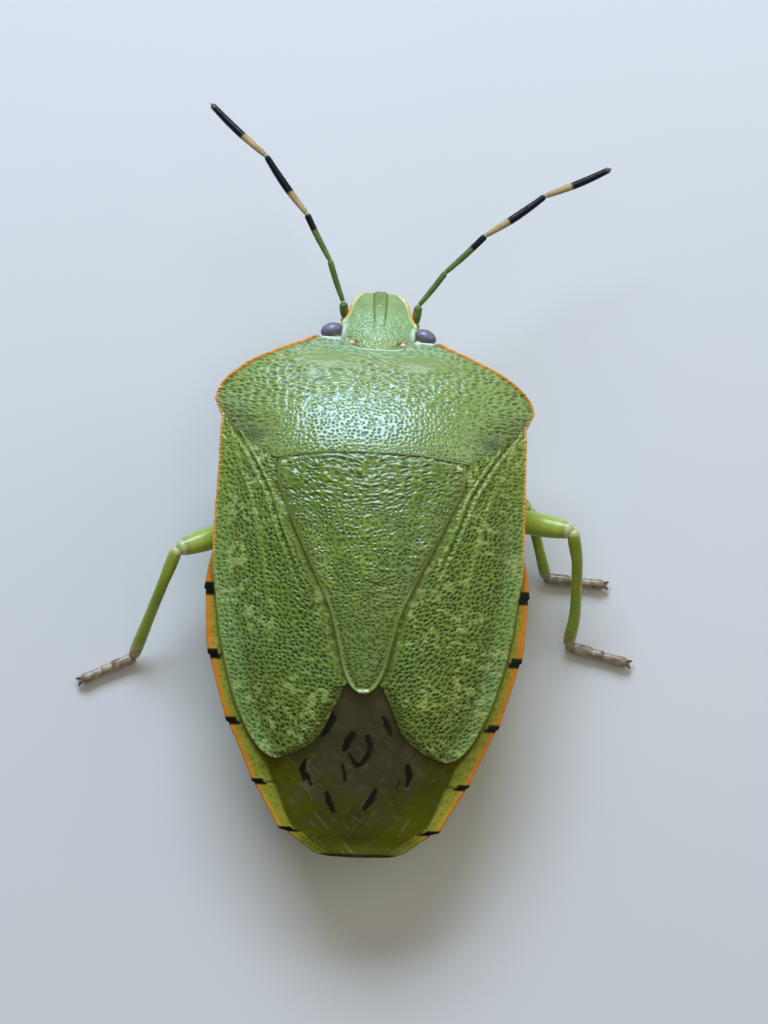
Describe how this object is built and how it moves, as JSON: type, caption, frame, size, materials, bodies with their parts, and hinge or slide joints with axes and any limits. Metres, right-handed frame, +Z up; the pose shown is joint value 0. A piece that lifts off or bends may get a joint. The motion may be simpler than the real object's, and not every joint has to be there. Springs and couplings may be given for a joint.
{
  "type": "shield bug",
  "caption": "Life-size still model of a green shield bug, standing, feelers forward, with shield-shaped back plates, folded wings and a spotted orange rim.",
  "frame": {"origin": "middle of the model's box, on the floor under the feet", "axes": "+Z up, head and feelers towards -Y, the animal's left side towards +X"},
  "size_m": [0.0158, 0.0212, 0.0052],
  "materials": {
    "cuticle_green": "pitted waxy gloss",
    "wing": "finely pitted satin",
    "underside": "smooth waxy satin",
    "eye": "fine facets, glossy",
    "antenna_green": "satin",
    "antenna_black": "satin with pale bands",
    "rostrum": "satin",
    "leg": "waxy gloss",
    "tarsus": "satin",
    "membrane": "thin smoky film with fine veins",
    "ocellus": "glossy bead",
    "claw": "glossy horn"
  },
  "bodies": {
    "root": {"head": "cuticle_green", "eye_left": "eye", "eye_right": "eye", "antenna_left_1": "antenna_green", "antenna_left_2": "antenna_green", "antenna_left_3": "antenna_green", "antenna_left_4": "antenna_black", "antenna_left_5": "antenna_black", "antenna_right_1": "antenna_green", "antenna_right_2": "antenna_green", "antenna_right_3": "antenna_green", "antenna_right_4": "antenna_black", "antenna_right_5": "antenna_black", "rostrum": "rostrum", "pronotum": "cuticle_green", "scutellum": "cuticle_green", "wing_left": "wing", "wing_right": "wing", "thorax": "underside", "abdomen": "underside", "femur_front_left": "leg", "tibia_front_left": "leg", "tarsus_front_left": "tarsus", "femur_front_right": "leg", "tibia_front_right": "leg", "tarsus_front_right": "tarsus", "femur_middle_left": "leg", "tibia_middle_left": "leg", "tarsus_middle_left": "tarsus", "femur_middle_right": "leg", "tibia_middle_right": "leg", "tarsus_middle_right": "tarsus", "femur_hind_left": "leg", "tibia_hind_left": "leg", "tarsus_hind_left": "tarsus", "femur_hind_right": "leg", "tibia_hind_right": "leg", "tarsus_hind_right": "tarsus"}
  },
  "joints": []
}
